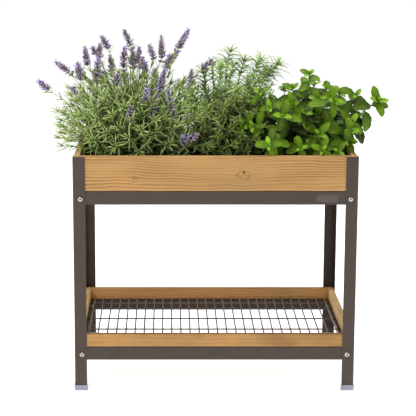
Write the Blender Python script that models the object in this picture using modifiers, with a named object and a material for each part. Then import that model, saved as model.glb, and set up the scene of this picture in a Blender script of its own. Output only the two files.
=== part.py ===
"""Raised planter on four steel legs: a softwood trough with a liner, soil and three herbs above a wire mesh shelf.

Metres, +Z up. The origin is on the floor under the middle of the planter. The front faces -Y and +X is right.
"""

import math

import bmesh
import bpy
from mathutils import Vector

# Overall sizes
WIDTH = 0.762  # over the legs, left to right
DEPTH = 0.520  # over the legs, front to back
LEG_TOP = 0.647
TROUGH_RAIL_TOP = 0.555  # the trough boards stand on this rail
TRAY_RAIL_TOP = 0.1235  # the tray boards and the shelf stand on this rail

# Folded steel angles
STEEL = 0.002  # sheet thickness
INNER_BEND = 0.0005  # inside radius of every fold
LEG_FLANGE = 0.033
RAIL_FLANGE = 0.025  # lies flat, pointing inwards
TROUGH_RAIL_HEIGHT = 0.0368
TRAY_RAIL_HEIGHT = 0.0368

# Softwood
TROUGH_BOARD = 0.016  # thickness
TROUGH_BOARD_HEIGHT = 0.0942
TRAY_BOARD = 0.016
TRAY_BOARD_HEIGHT = 0.0352
BOARD_EDGE = 0.0015  # eased edge
SLAT = 0.012
SLAT_COUNT = 6
SLAT_SPACING = 0.010
SLAT_EDGE = 0.001

# Foot caps
FOOT_HEIGHT = 0.015
FOOT_FLOOR = 0.004
FOOT_WALL = 0.0016

# M8 button head bolts and nuts
BOLT_INSET = 0.020  # from the leg's outer side
BOLT_DROP = 0.021  # from the rail's top
BOLT_RADIUS = 0.004
BOLT_LENGTH = 0.016
BOLT_CHAMFER = 0.0008
ROUND_SIDES = 12
HEX_SIDES = 6
HEAD_RADIUS = 0.007
HEAD_HEIGHT = 0.0044
HEAD_CROWN = 0.0035  # radius of the flat round the socket
HEAD_RIM = 0.0005  # straight side under the dome
HEAD_STEPS = 3  # on the dome
SOCKET_RADIUS = 0.0029
SOCKET_DEPTH = 0.0022
NUT_RADIUS = 0.0075  # over the corners
NUT_HEIGHT = 0.0065
BOLT_CLEARANCE = 0.0003

# Wire mesh shelf
WIRE_RADIUS = 0.0021
WIRE_WELD = 0.0004  # how far two crossing wires sink into each other
CROSS_PITCH = 0.0258
CROSS_MARGIN = 0.006  # least length of a long wire past the last cross wire
LONG_PITCH = 0.110
LONG_FRONT_INSET = 0.035
LONG_BACK_INSET = 0.050
SHELF_CLEARANCE = 0.003

# Liner tray and soil
LINER_WALL = 0.002
LINER_CLEARANCE = 0.0015
LINER_RIM_DROP = 0.006  # below the boards' tops
DRAIN_RADIUS = 0.005
DRAIN_COUNT = 5
SOIL_DROP = 0.024  # below the boards' tops

# Herbs. Shares are of the trough's inside length, from its left end.
OVERHANG_X = 0.114  # past the legs, to the outermost tips
OVERHANG_Y = 0.025
PLANT_HEIGHT = 0.318  # above the boards
ROOT_RADIUS = 0.050
ROOT_SOIL = 0.017  # least soil under the roots
ROOT_SHARES = {"lavender": 0.18, "rosemary": 0.51, "mint": 0.84}
LAVENDER_RIGHT = 0.385  # where each crown ends
ROSEMARY_LEFT = 0.425
ROSEMARY_RIGHT = 0.59
MINT_LEFT = 0.68
ROSEMARY_DEPTH_SHARE = 0.77  # of the trough's inside depth
STEM_SPREAD = 0.4  # of the root ball's radius, where the stems leave it
RIM_STEMS = 4  # these reach the crown's edge
INNER_SPREAD = 0.85  # of the crown, for the other stems
ROOT_SIDES = 16
GOLDEN_ANGLE = math.pi * (3 - math.sqrt(5))

# Badge on the front rail
BADGE_WIDTH = 0.058
BADGE_HEIGHT = 0.020
BADGE_THICKNESS = 0.0008
BADGE_INSET = 0.0525  # from the right leg's outer side to the badge's edge

GAP = 0.0003  # between pieces that touch
MERGE = 0.00001
BEND = STEEL + INNER_BEND
CORNERS = {"front_left": (-1, -1), "front_right": (1, -1), "back_right": (1, 1), "back_left": (-1, 1)}
SIDES = ("front", "right", "back", "left")  # each a quarter turn on from the one before

RAIL_FACE = STEEL + GAP  # from the legs' outer faces to the rails' and boards' outer faces
TROUGH_INSIDE_X = WIDTH / 2 - RAIL_FACE - TROUGH_BOARD
TROUGH_INSIDE_Y = DEPTH / 2 - RAIL_FACE - TROUGH_BOARD
BOARD_TOP = TROUGH_RAIL_TOP + GAP + TROUGH_BOARD_HEIGHT
LINER_BOTTOM = TROUGH_RAIL_TOP + GAP + SLAT + GAP
SOIL_TOP = BOARD_TOP - SOIL_DROP
SOIL_BOTTOM = LINER_BOTTOM + LINER_WALL + GAP
ROOT_DEPTH = SOIL_TOP - SOIL_BOTTOM - ROOT_SOIL


def clear_scene():
    for obj in list(bpy.data.objects):
        bpy.data.objects.remove(obj, do_unlink=True)


def new_collection(name):
    collection = bpy.data.collections.new(name)
    bpy.context.scene.collection.children.link(collection)
    return collection


def new_material(name, colour, roughness, metallic=0.0, transmission=0.0):
    material = bpy.data.materials.new(name)
    material.use_nodes = True
    shader = material.node_tree.nodes["Principled BSDF"]
    shader.inputs["Base Color"].default_value = (*colour, 1.0)
    shader.inputs["Roughness"].default_value = roughness
    shader.inputs["Metallic"].default_value = metallic
    shader.inputs["Transmission Weight"].default_value = transmission
    material.diffuse_color = (*colour, 1.0)
    return material


def link(name, data, collection, material=None, location=(0, 0, 0), turn=(0, 0, 0), parent=None):
    obj = bpy.data.objects.new(name, data)
    collection.objects.link(obj)
    obj.location = location
    obj.rotation_euler = turn
    obj.parent = parent
    if material:
        data.materials.clear()
        data.materials.append(material)
    return obj


def hide_cutter(obj):
    obj.hide_render = True
    obj.display_type = "WIRE"
    return obj


def cut(obj, cutter):
    modifier = obj.modifiers.new("cut", "BOOLEAN")
    modifier.operation = "DIFFERENCE"
    modifier.object = cutter


def evaluated_mesh(obj):
    """The object's mesh with its modifiers or bevel applied, its points welded and its faces turned out."""
    graph = bpy.context.evaluated_depsgraph_get()
    mesh = bpy.data.meshes.new_from_object(obj.evaluated_get(graph))
    shape = bmesh.new()
    shape.from_mesh(mesh)
    bmesh.ops.remove_doubles(shape, verts=shape.verts, dist=MERGE)
    bmesh.ops.recalc_face_normals(shape, faces=shape.faces)
    shape.to_mesh(mesh)
    shape.free()
    bpy.data.objects.remove(obj, do_unlink=True)
    return mesh


def smooth(mesh, degrees=35):
    mesh.shade_smooth()
    mesh.set_sharp_from_angle(angle=math.radians(degrees))
    return mesh


def box_mesh(name, size):
    shape = bmesh.new()
    bmesh.ops.create_cube(shape, size=1.0)
    bmesh.ops.scale(shape, vec=size, verts=shape.verts)
    mesh = bpy.data.meshes.new(name)
    shape.to_mesh(mesh)
    shape.free()
    return mesh


def prism_mesh(name, radius, height, sides):
    """A round or many-sided bar along Z, centred."""
    shape = bmesh.new()
    bmesh.ops.create_cone(
        shape, cap_ends=True, segments=sides, radius1=radius, radius2=radius, depth=height
    )
    mesh = bpy.data.meshes.new(name)
    shape.to_mesh(mesh)
    shape.free()
    return mesh


def bevel(obj, width, segments=2):
    modifier = obj.modifiers.new("eased edge", "BEVEL")
    modifier.width = width
    modifier.segments = segments


def arc(centre_x, centre_y, radius, start, end, steps=4):
    turn = (end - start) / steps
    return [
        (
            centre_x + radius * math.cos(start + turn * i),
            centre_y + radius * math.sin(start + turn * i),
        )
        for i in range(steps + 1)
    ]


def angle_outline(arm_x, arm_y, grow=0.0):
    """An L in the XY plane, its outer corner at the origin, grown outwards on every side by a distance."""
    low = -grow
    inner = STEEL + grow
    inside_radius = max(INNER_BEND - grow, 0.0)
    outline = [(arm_x + grow, low), (arm_x + grow, inner)]
    if inside_radius > 0:
        centre = inner + inside_radius
        outline += arc(centre, centre, inside_radius, math.pi * 1.5, math.pi, steps=2)
    else:
        outline.append((inner, inner))
    outline += [(inner, arm_y + grow), (low, arm_y + grow)]
    return outline + arc(BEND, BEND, BEND + grow, math.pi, math.pi * 1.5)


def extruded_mesh(name, outline, length):
    """A flat outline in XY, extruded along Z and centred on it."""
    curve = bpy.data.curves.new(name, "CURVE")
    curve.dimensions = "2D"
    curve.fill_mode = "BOTH"
    curve.extrude = length / 2
    spline = curve.splines.new("POLY")
    spline.points.add(len(outline) - 1)
    for point, (x, y) in zip(spline.points, outline):
        point.co = (x, y, 0, 1)
    spline.use_cyclic_u = True
    mesh = evaluated_mesh(link(name, curve, bpy.context.scene.collection))
    mesh.name = name
    return smooth(mesh)


def corner_point(signs):
    return Vector((signs[0] * WIDTH / 2, signs[1] * DEPTH / 2, 0))


def make_bolt_holes(cutters):
    """One drill through leg and rail for each bolt, by rail and corner."""
    holes = {}
    length = 4 * RAIL_FACE
    for frame, rail_top in (("trough", TROUGH_RAIL_TOP), ("tray", TRAY_RAIL_TOP)):
        for corner, (side_x, side_y) in CORNERS.items():
            x = side_x * (WIDTH / 2 - BOLT_INSET)
            place = (x, side_y * (DEPTH / 2 - RAIL_FACE), rail_top - BOLT_DROP)
            mesh = prism_mesh("bolt_hole", BOLT_RADIUS + BOLT_CLEARANCE, length, ROUND_SIDES)
            drill = link(f"drill_{frame}_{corner}", mesh, cutters, None, place, (math.pi / 2, 0, 0))
            holes[frame, corner] = hide_cutter(drill)
    return holes


def make_legs(parts, holes):
    steel = new_material("dark_powder_coat", (0.085, 0.064, 0.052), 0.48, 0.35)
    height = LEG_TOP - FOOT_FLOOR
    outline = angle_outline(LEG_FLANGE, LEG_FLANGE)
    for quarter, (corner, signs) in enumerate(CORNERS.items()):
        place = corner_point(signs) + Vector((0, 0, FOOT_FLOOR + height / 2))
        mesh = extruded_mesh("leg", outline, height)
        turn = (0, 0, quarter * math.pi / 2)
        leg = link(f"leg_{corner}", mesh, parts, steel, place, turn)
        cut(leg, holes["trough", corner])
        cut(leg, holes["tray", corner])


def make_feet(parts, cutters):
    plastic = new_material("grey_translucent_plastic", (0.40, 0.40, 0.50), 0.35, 0.0, 0.3)
    outer = angle_outline(LEG_FLANGE, LEG_FLANGE, GAP + FOOT_WALL)
    inner = angle_outline(LEG_FLANGE, LEG_FLANGE, GAP)
    for quarter, (corner, signs) in enumerate(CORNERS.items()):
        turn = (0, 0, quarter * math.pi / 2)
        place = corner_point(signs) + Vector((0, 0, FOOT_HEIGHT / 2))
        foot = link(
            f"foot_{corner}", extruded_mesh("foot", outer, FOOT_HEIGHT), parts, plastic, place, turn
        )
        pocket_place = place + Vector((0, 0, FOOT_FLOOR - GAP))
        pocket = extruded_mesh("foot_pocket", inner, FOOT_HEIGHT)
        cut(foot, hide_cutter(link(f"pocket_{corner}", pocket, cutters, None, pocket_place, turn)))


def rail_mesh(name, length, height):
    """An angle along Z, X pointing inwards and Y up, with mitred ends and its outer top edge on the axis."""
    outline = [(x, -y) for x, y in angle_outline(RAIL_FLANGE, height)]
    mesh = extruded_mesh(name, outline, length)
    for vertex in mesh.vertices:
        vertex.co.z -= math.copysign(vertex.co.x + GAP, vertex.co.z)
    return mesh


def make_rails(parts, holes, frame, top, height):
    """Four mitred angles, welded at the corners on the real frame."""
    steel = new_material(f"dark_powder_coat_{frame}", (0.080, 0.060, 0.050), 0.48, 0.35)
    half_x = WIDTH / 2 - RAIL_FACE
    half_y = DEPTH / 2 - RAIL_FACE
    for quarter, side in enumerate(SIDES):
        crosswise = quarter % 2 == 0
        length = 2 * half_x if crosswise else 2 * half_y
        out = half_y if crosswise else half_x
        heading = (quarter - 1) * math.pi / 2
        place = (out * math.cos(heading), out * math.sin(heading), top)
        turn = (math.pi / 2, 0, heading + math.pi)
        mesh = rail_mesh("rail", length, height)
        rail = link(f"{frame}_rail_{side}", mesh, parts, steel, place, turn)
        for corner in CORNERS:
            if crosswise and corner.startswith(side):
                cut(rail, holes[frame, corner])


def board(name, parts, material, low, high, edge=BOARD_EDGE):
    low = Vector(low)
    high = Vector(high)
    obj = link(name, box_mesh(name, high - low), parts, material, (low + high) / 2)
    bevel(obj, edge)
    smooth(obj.data)
    return obj


def make_boards(parts, frame, bottom, height, thickness):
    """Side boards run the full depth, and the front and back boards butt between them."""
    wood = new_material(f"{frame}_softwood", (0.55, 0.35, 0.15), 0.55)
    half_x = WIDTH / 2 - RAIL_FACE
    half_y = DEPTH / 2 - RAIL_FACE
    inside_x = half_x - thickness
    low = bottom + GAP
    top = low + height
    for side, sign in (("left", -1), ("right", 1)):
        near, far = sorted((sign * inside_x, sign * half_x))
        board(f"{frame}_board_{side}", parts, wood, (near, -half_y, low), (far, half_y, top))
    for side, sign in (("front", -1), ("back", 1)):
        near, far = sorted((sign * (half_y - thickness), sign * half_y))
        end = inside_x - GAP
        board(f"{frame}_board_{side}", parts, wood, (-end, near, low), (end, far, top))


def make_slats(parts):
    """Floor slats, front to back on the trough rails' flanges, with gaps that drain."""
    wood = new_material("slat_softwood", (0.50, 0.33, 0.16), 0.65)
    inside = TROUGH_INSIDE_X - GAP
    width = (2 * inside - (SLAT_COUNT - 1) * SLAT_SPACING) / SLAT_COUNT
    low = TROUGH_RAIL_TOP + GAP
    for i in range(SLAT_COUNT):
        left = -inside + i * (width + SLAT_SPACING)
        end = TROUGH_INSIDE_Y - GAP
        board(
            f"floor_slat_{i + 1}",
            parts,
            wood,
            (left, -end, low),
            (left + width, end, low + SLAT),
            SLAT_EDGE,
        )


def bolt_mesh(cutters):
    """A button head bolt along +Z, the head's underside at the origin."""
    dome = []
    for step in range(HEAD_STEPS + 1):
        turn = step * math.pi / 2 / HEAD_STEPS
        radius = HEAD_CROWN + (HEAD_RADIUS - HEAD_CROWN) * math.sin(turn)
        dome.append((radius, HEAD_RIM + (HEAD_HEIGHT - HEAD_RIM) * math.cos(turn)))
    profile = [(0, HEAD_HEIGHT), *dome, (HEAD_RADIUS, 0), (BOLT_RADIUS, 0)]
    profile.append((BOLT_RADIUS, BOLT_CHAMFER - BOLT_LENGTH))
    profile.append((BOLT_RADIUS - BOLT_CHAMFER, -BOLT_LENGTH))
    profile.append((0, -BOLT_LENGTH))
    mesh = bpy.data.meshes.new("bolt_profile")
    edges = [(i, i + 1) for i in range(len(profile) - 1)]
    mesh.from_pydata([(radius, 0, z) for radius, z in profile], edges, [])
    turned = link("bolt_profile", mesh, cutters)
    screw = turned.modifiers.new("turn", "SCREW")
    screw.axis = "Z"
    screw.steps = ROUND_SIDES
    screw.render_steps = ROUND_SIDES
    screw.use_merge_vertices = True
    screw.merge_threshold = MERGE
    socket_mesh = prism_mesh("socket", SOCKET_RADIUS, 2 * SOCKET_DEPTH, HEX_SIDES)
    socket = hide_cutter(link("socket", socket_mesh, cutters, None, (0, 0, HEAD_HEIGHT)))
    cut(turned, socket)
    finished = evaluated_mesh(turned)
    finished.name = "bolt"
    bpy.data.objects.remove(socket, do_unlink=True)
    return smooth(finished)


def nut_mesh(cutters):
    """A hexagon nut along Z, its near face at the origin."""
    blank = link("nut_blank", prism_mesh("nut", NUT_RADIUS, NUT_HEIGHT, HEX_SIDES), cutters)
    bore_mesh = prism_mesh("nut_bore", BOLT_RADIUS + BOLT_CLEARANCE, 2 * NUT_HEIGHT, ROUND_SIDES)
    bore = hide_cutter(link("nut_bore", bore_mesh, cutters))
    cut(blank, bore)
    finished = evaluated_mesh(blank)
    finished.name = "nut"
    bpy.data.objects.remove(bore, do_unlink=True)
    return smooth(finished)


def make_fasteners(parts, cutters):
    zinc = new_material("bright_zinc", (0.75, 0.76, 0.78), 0.25, 1.0)
    bolt = bolt_mesh(cutters)
    nut = nut_mesh(cutters)
    for frame, rail_top in (("trough", TROUGH_RAIL_TOP), ("tray", TRAY_RAIL_TOP)):
        for corner, (side_x, side_y) in CORNERS.items():
            outward = (-side_y * math.pi / 2, 0, 0)
            x = side_x * (WIDTH / 2 - BOLT_INSET)
            z = rail_top - BOLT_DROP
            head = side_y * (DEPTH / 2 + GAP)
            seat = side_y * (DEPTH / 2 - RAIL_FACE - STEEL - GAP - NUT_HEIGHT / 2)
            link(f"{frame}_bolt_{corner}", bolt, parts, zinc, (x, head, z), outward)
            link(f"{frame}_nut_{corner}", nut, parts, zinc, (x, seat, z), outward)


def wires_mesh(name, ends):
    """Straight wires as one mesh, each between two points."""
    curve = bpy.data.curves.new(name, "CURVE")
    curve.dimensions = "3D"
    curve.bevel_depth = WIRE_RADIUS
    curve.bevel_resolution = 1
    curve.use_fill_caps = True
    for start, end in ends:
        spline = curve.splines.new("POLY")
        spline.points.add(1)
        spline.points[0].co = (*start, 1)
        spline.points[1].co = (*end, 1)
    return evaluated_mesh(link(name, curve, bpy.context.scene.collection))


def make_shelf(parts, cutters):
    """Cross wires welded on top of long wires. It lies loose on the tray rails' flanges and lifts straight up."""
    steel = new_material("taupe_coated_wire", (0.26, 0.22, 0.19), 0.45, 0.5)
    half_x = WIDTH / 2 - RAIL_FACE - TRAY_BOARD - SHELF_CLEARANCE
    half_y = DEPTH / 2 - RAIL_FACE - TRAY_BOARD - SHELF_CLEARANCE
    steps = int((2 * half_x - 2 * CROSS_MARGIN) / CROSS_PITCH)
    flat = WIRE_RADIUS * math.cos(math.pi / 6)  # the six-sided wires lie on a flat side
    rise = 2 * flat - WIRE_WELD
    cross = []
    for i in range(steps + 1):
        x = (i - steps / 2) * CROSS_PITCH
        cross.append(((x, -half_y, rise), (x, half_y, rise)))
    rows = int((2 * half_y - LONG_FRONT_INSET - LONG_BACK_INSET) / LONG_PITCH)
    places = [LONG_FRONT_INSET - half_y + i * LONG_PITCH for i in range(rows + 1)]
    places.append(half_y - LONG_BACK_INSET)
    long = [((-half_x, y, 0), (half_x, y, 0)) for y in places]
    height = TRAY_RAIL_TOP + GAP + flat
    shelf = link("mesh_shelf", wires_mesh("cross_wires", cross), parts, steel, (0, 0, height))
    others = link("long_wires", wires_mesh("long_wires", long), cutters, None, (0, 0, height))
    union = shelf.modifiers.new("weld", "BOOLEAN")
    union.operation = "UNION"
    union.object = hide_cutter(others)


def make_liner(parts, cutters, slide):
    """An open plastic tray with drain holes, standing on the slats."""
    plastic = new_material("black_plastic", (0.012, 0.012, 0.012), 0.55)
    half_x = TROUGH_INSIDE_X - LINER_CLEARANCE
    half_y = TROUGH_INSIDE_Y - LINER_CLEARANCE
    height = BOARD_TOP - LINER_RIM_DROP - LINER_BOTTOM
    mesh = box_mesh("liner", (2 * half_x, 2 * half_y, height))
    shape = bmesh.new()
    shape.from_mesh(mesh)
    top = [face for face in shape.faces if face.normal.z > 0.5]
    bmesh.ops.delete(shape, geom=top, context="FACES_ONLY")
    shape.to_mesh(mesh)
    shape.free()
    liner = link("liner_tray", mesh, parts, plastic, (0, 0, height / 2), parent=slide)
    wall = liner.modifiers.new("wall", "SOLIDIFY")
    wall.thickness = LINER_WALL
    wall.offset = -1
    wall.use_even_offset = True
    step = 2 * half_x / DRAIN_COUNT
    for i in range(DRAIN_COUNT):
        place = ((i + 0.5) * step - half_x, 0, 0)
        drill = prism_mesh("drain", DRAIN_RADIUS, 4 * LINER_WALL, ROUND_SIDES)
        cut(liner, hide_cutter(link(f"drain_{i + 1}", drill, cutters, None, place, parent=slide)))


def make_soil(parts, cutters, slide, roots):
    compost = new_material("dark_compost", (0.020, 0.014, 0.010), 0.95)
    half_x = TROUGH_INSIDE_X - LINER_CLEARANCE - LINER_WALL - GAP
    half_y = TROUGH_INSIDE_Y - LINER_CLEARANCE - LINER_WALL - GAP
    low = SOIL_BOTTOM - LINER_BOTTOM
    top = SOIL_TOP - LINER_BOTTOM
    mesh = box_mesh("soil", (2 * half_x, 2 * half_y, top - low))
    soil = link("soil", mesh, parts, compost, (0, 0, (low + top) / 2), parent=slide)
    for name, x in roots.items():
        hole = prism_mesh("planting_hole", ROOT_RADIUS + GAP, 2 * (ROOT_DEPTH + GAP), ROOT_SIDES)
        place = (x, 0, top)
        cut(soil, hide_cutter(link(f"hole_{name}", hole, cutters, None, place, parent=slide)))


def stem_points(root, tip, radii):
    """A stem that rises steeply and then arches out to its tip, with a thickness at each point."""
    root = Vector(root)
    tip = Vector(tip)
    middle = Vector(((root.x * 2 + tip.x) / 3, (root.y * 2 + tip.y) / 3, (root.z + 2 * tip.z) / 3))
    last = len(radii) - 1
    points = []
    for i, radius in enumerate(radii):
        t = i / last
        point = root * (1 - t) ** 2 + middle * (2 * t * (1 - t)) + tip * t**2
        points.append((point, radius))
    return points


def make_plant(name, parts, cutters, slide, material, root_x, crown, top, droop, count, radii):
    """A root ball with stems that spread over an oval crown. crown is its left and right ends and its reach in Y."""
    left, right, reach_y = crown
    centre_x = (left + right) / 2
    reach_x = (right - left) / 2
    base = SOIL_TOP - LINER_BOTTOM
    curve = bpy.data.curves.new(name, "CURVE")
    curve.dimensions = "3D"
    curve.bevel_depth = 1.0
    curve.bevel_resolution = 0
    curve.use_fill_caps = True
    for i in range(count):
        if i < RIM_STEMS:
            spread = 1.0
            angle = i * 2 * math.pi / RIM_STEMS
        else:
            spread = INNER_SPREAD * math.sqrt((i - RIM_STEMS + 0.5) / (count - RIM_STEMS))
            angle = i * GOLDEN_ANGLE
        outward = Vector((math.cos(angle), math.sin(angle), 0)) * spread
        start = Vector((root_x, 0, base - ROOT_DEPTH / 2)) + outward * STEM_SPREAD * ROOT_RADIUS
        tip_x = centre_x + reach_x * outward.x
        tip_y = reach_y * outward.y
        tip_z = BOARD_TOP + top - LINER_BOTTOM - droop * spread**2
        points = stem_points(start, (tip_x, tip_y, tip_z), radii)
        spline = curve.splines.new("POLY")
        spline.points.add(len(points) - 1)
        for place, (point, radius) in zip(spline.points, points):
            place.co = (*point, 1)
            place.radius = radius
    stems = evaluated_mesh(link(name, curve, bpy.context.scene.collection))
    plant = link(name, stems, parts, material, parent=slide)
    ball_mesh = prism_mesh("root_ball", ROOT_RADIUS, ROOT_DEPTH, ROOT_SIDES)
    ball_place = (root_x, 0, base - ROOT_DEPTH / 2)
    ball = link(f"{name}_root_ball", ball_mesh, cutters, None, ball_place, parent=slide)
    union = plant.modifiers.new("root ball", "BOOLEAN")
    union.operation = "UNION"
    union.object = hide_cutter(ball)
    union.use_self = True
    return plant


def along_trough(share):
    """X at a share of the trough's inside length, from the left."""
    return TROUGH_INSIDE_X * (2 * share - 1)


def make_lavender(parts, cutters, slide, root_x):
    """Thin stems that end in long flower spikes."""
    green = new_material("lavender_green", (0.22, 0.30, 0.17), 0.7)
    crown = (-WIDTH / 2 - OVERHANG_X, along_trough(LAVENDER_RIGHT), DEPTH / 2 + OVERHANG_Y)
    stem = (0.004, 0.0035, 0.003, 0.003, 0.003, 0.003)
    spike = (0.008, 0.008, 0.0016)
    make_plant(
        "lavender", parts, cutters, slide, green, root_x, crown, PLANT_HEIGHT, 0.15, 14, stem + spike
    )


def make_rosemary(parts, cutters, slide, root_x):
    """Upright branches, thickest in the middle where their needles are longest."""
    green = new_material("rosemary_green", (0.20, 0.30, 0.14), 0.65)
    reach_y = ROSEMARY_DEPTH_SHARE * TROUGH_INSIDE_Y
    crown = (along_trough(ROSEMARY_LEFT), along_trough(ROSEMARY_RIGHT), reach_y)
    top = PLANT_HEIGHT - 0.065
    branch = (0.005, 0.005, 0.007, 0.008, 0.008, 0.007, 0.0016)
    make_plant("rosemary", parts, cutters, slide, green, root_x, crown, top, 0.08, 10, branch)


def make_mint(parts, cutters, slide, root_x):
    """Stems with swellings where the leaf pairs stand."""
    green = new_material("mint_green", (0.13, 0.28, 0.05), 0.5)
    crown = (along_trough(MINT_LEFT), WIDTH / 2 + OVERHANG_X, DEPTH / 2 + OVERHANG_Y)
    top = PLANT_HEIGHT - 0.10
    stem = 0.003
    leaves = 0.018
    radii = (0.004, stem, stem, leaves, stem, leaves, stem, leaves, 0.0016)
    make_plant("mint", parts, cutters, slide, green, root_x, crown, top, 0.12, 12, radii)


def make_badge(parts):
    """A plain plate on the front trough rail."""
    plate = new_material("badge_plate", (0.10, 0.11, 0.09), 0.5)
    mesh = box_mesh("badge", (BADGE_WIDTH, BADGE_THICKNESS, BADGE_HEIGHT))
    x = WIDTH / 2 - BADGE_INSET - BADGE_WIDTH / 2
    y = -(DEPTH / 2 - RAIL_FACE + GAP + BADGE_THICKNESS / 2)
    z = TROUGH_RAIL_TOP - TROUGH_RAIL_HEIGHT / 2 - STEEL / 2
    link("badge", mesh, parts, plate, (x, y, z))


def main():
    clear_scene()
    parts = new_collection("raised_planter_on_legs")
    cutters = new_collection("cutters")
    holes = make_bolt_holes(cutters)
    make_legs(parts, holes)
    make_feet(parts, cutters)
    make_rails(parts, holes, "trough", TROUGH_RAIL_TOP, TROUGH_RAIL_HEIGHT)
    make_rails(parts, holes, "tray", TRAY_RAIL_TOP, TRAY_RAIL_HEIGHT)
    make_boards(parts, "trough", TROUGH_RAIL_TOP, TROUGH_BOARD_HEIGHT, TROUGH_BOARD)
    make_boards(parts, "tray", TRAY_RAIL_TOP, TRAY_BOARD_HEIGHT, TRAY_BOARD)
    make_slats(parts)
    make_fasteners(parts, cutters)
    make_shelf(parts, cutters)
    make_badge(parts)
    slide = link("liner_slide", None, parts, None, (0, 0, LINER_BOTTOM))
    roots = {name: along_trough(share) for name, share in ROOT_SHARES.items()}
    make_liner(parts, cutters, slide)
    make_soil(parts, cutters, slide, roots)
    make_lavender(parts, cutters, slide, roots["lavender"])
    make_rosemary(parts, cutters, slide, roots["rosemary"])
    make_mint(parts, cutters, slide, roots["mint"])


main()
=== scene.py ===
"""The looks of the raised planter on legs: wood, steel, wire and plastic, and three herbs made leaf by leaf.

Metres, +Z up, in the CAD's own frame. The front faces -Y and +X is right.
"""

import math
import random
from collections import namedtuple

import bmesh
import bpy
import numpy as np
from mathutils import Matrix, Vector, noise


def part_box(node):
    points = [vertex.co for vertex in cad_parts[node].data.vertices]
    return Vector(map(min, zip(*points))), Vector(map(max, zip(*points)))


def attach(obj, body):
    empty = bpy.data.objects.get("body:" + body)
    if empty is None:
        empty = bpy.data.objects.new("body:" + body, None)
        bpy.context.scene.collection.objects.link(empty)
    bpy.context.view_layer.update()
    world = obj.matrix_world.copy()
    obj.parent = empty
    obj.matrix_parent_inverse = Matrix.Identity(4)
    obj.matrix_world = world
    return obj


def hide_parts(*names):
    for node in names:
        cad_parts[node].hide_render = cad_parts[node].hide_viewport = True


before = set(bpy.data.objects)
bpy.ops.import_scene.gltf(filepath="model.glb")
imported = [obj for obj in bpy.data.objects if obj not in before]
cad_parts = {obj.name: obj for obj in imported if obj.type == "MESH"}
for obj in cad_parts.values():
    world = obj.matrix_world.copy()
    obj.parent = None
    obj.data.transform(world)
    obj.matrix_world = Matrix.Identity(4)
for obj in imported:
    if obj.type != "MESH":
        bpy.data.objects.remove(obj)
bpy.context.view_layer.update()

# Camera
CAMERA_PLACE = (-0.127, -4.153, 1.299)
CAMERA_DOWN = 11.46  # degrees
CAMERA_LENS = 128.6
CAMERA_SHIFT_X = 0.0964
SENSOR = 36.0

# The soil and where each herb is planted in it, from the frame
SOIL_LOW, SOIL_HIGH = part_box("soil")
SOIL_TOP = SOIL_HIGH.z
LAVENDER_ROOT = Vector((-0.23, 0.0, SOIL_TOP - 0.01))
ROSEMARY_ROOT = Vector((0.01, 0.02, SOIL_TOP - 0.01))
MINT_ROOT = Vector((0.25, 0.0, SOIL_TOP - 0.01))

# The wire shelf and the bolts' heads, as in the CAD
WIRE_RADIUS = 0.0021
CROSS_PITCH = 0.0258
CROSS_MARGIN = 0.006
LONG_PITCH = 0.11
LONG_FIRST = 0.035
LONG_LAST = 0.05
BOLT_HEAD_RADIUS = 0.007
BOLT_HEAD_HEIGHT = 0.0044


# ---- materials


def linear(code):
    """A colour from its six-digit sRGB code."""
    parts = [int(code[i : i + 2], 16) / 255 for i in (0, 2, 4)]
    return tuple(c / 12.92 if c <= 0.04045 else ((c + 0.055) / 1.055) ** 2.4 for c in parts)


def scaled(colour, share):
    """A colour made lighter or darker."""
    return tuple(min(1.0, c * share) for c in colour)


class Nodes:
    """A node tree. In its calls, a socket is linked and anything else is a constant."""

    def __init__(self, tree):
        self.tree = tree

    def node(self, kind, inputs=None, **settings):
        made = self.tree.nodes.new("ShaderNode" + kind)
        for name, value in settings.items():
            setattr(made, name, value)
        for name, value in (inputs or {}).items():
            if isinstance(value, bpy.types.NodeSocket):
                self.tree.links.new(value, made.inputs[name])
            else:
                made.inputs[name].default_value = value
        return made

    def maths(self, operation, *values):
        return self.node("Math", dict(enumerate(values)), operation=operation).outputs[0]

    def plus(self, first, second):
        return self.maths("ADD", first, second)

    def minus(self, first, second):
        return self.maths("SUBTRACT", first, second)

    def times(self, first, second):
        return self.maths("MULTIPLY", first, second)

    def centred(self, value, size):
        """A value from 0 to 1 made to swing half of size either side of 0."""
        return self.times(self.minus(value, 0.5), size)

    def squares(self, first, second):
        """The sum of two squares."""
        return self.plus(self.maths("POWER", first, 2.0), self.maths("POWER", second, 2.0))

    def dot(self, first, second):
        return self.node("VectorMath", {0: first, 1: second}, operation="DOT_PRODUCT").outputs["Value"]

    def split(self, vector):
        return self.node("SeparateXYZ", {"Vector": vector}).outputs[:3]

    def join(self, x, y, z):
        return self.node("CombineXYZ", {"X": x, "Y": y, "Z": z}).outputs[0]

    def noise(self, vector, scale, detail=2.0, roughness=0.5):
        """From 0 to 1. A scale of three numbers stretches it along an axis."""
        if isinstance(scale, tuple):
            vector = self.node("VectorMath", {0: vector, 1: scale}, operation="MULTIPLY").outputs[0]
            scale = 1.0
        settings = {"Vector": vector, "Scale": scale, "Detail": detail, "Roughness": roughness}
        return self.node("TexNoise", settings).outputs[0]

    def ramp(self, value, *stops):
        """Stops are (place, grey or colour)."""
        made = self.node("ValToRGB", {"Fac": value})
        elements = made.color_ramp.elements
        while len(elements) < len(stops):
            elements.new(0.5)
        for element, (place, colour) in zip(elements, stops):
            element.position = place
            element.color = (*colour, 1) if isinstance(colour, tuple) else (colour,) * 3 + (1,)
        return made.outputs[0]

    def mix(self, share, first, second, blend="MIX"):
        values = {0: share, 6: first, 7: second}
        for key in (6, 7):
            if isinstance(values[key], tuple):
                values[key] = (*values[key], 1)
        return self.node("Mix", values, data_type="RGBA", blend_type=blend).outputs[2]

    def multiply(self, first, second):
        return self.mix(1.0, first, second, "MULTIPLY")


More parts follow.
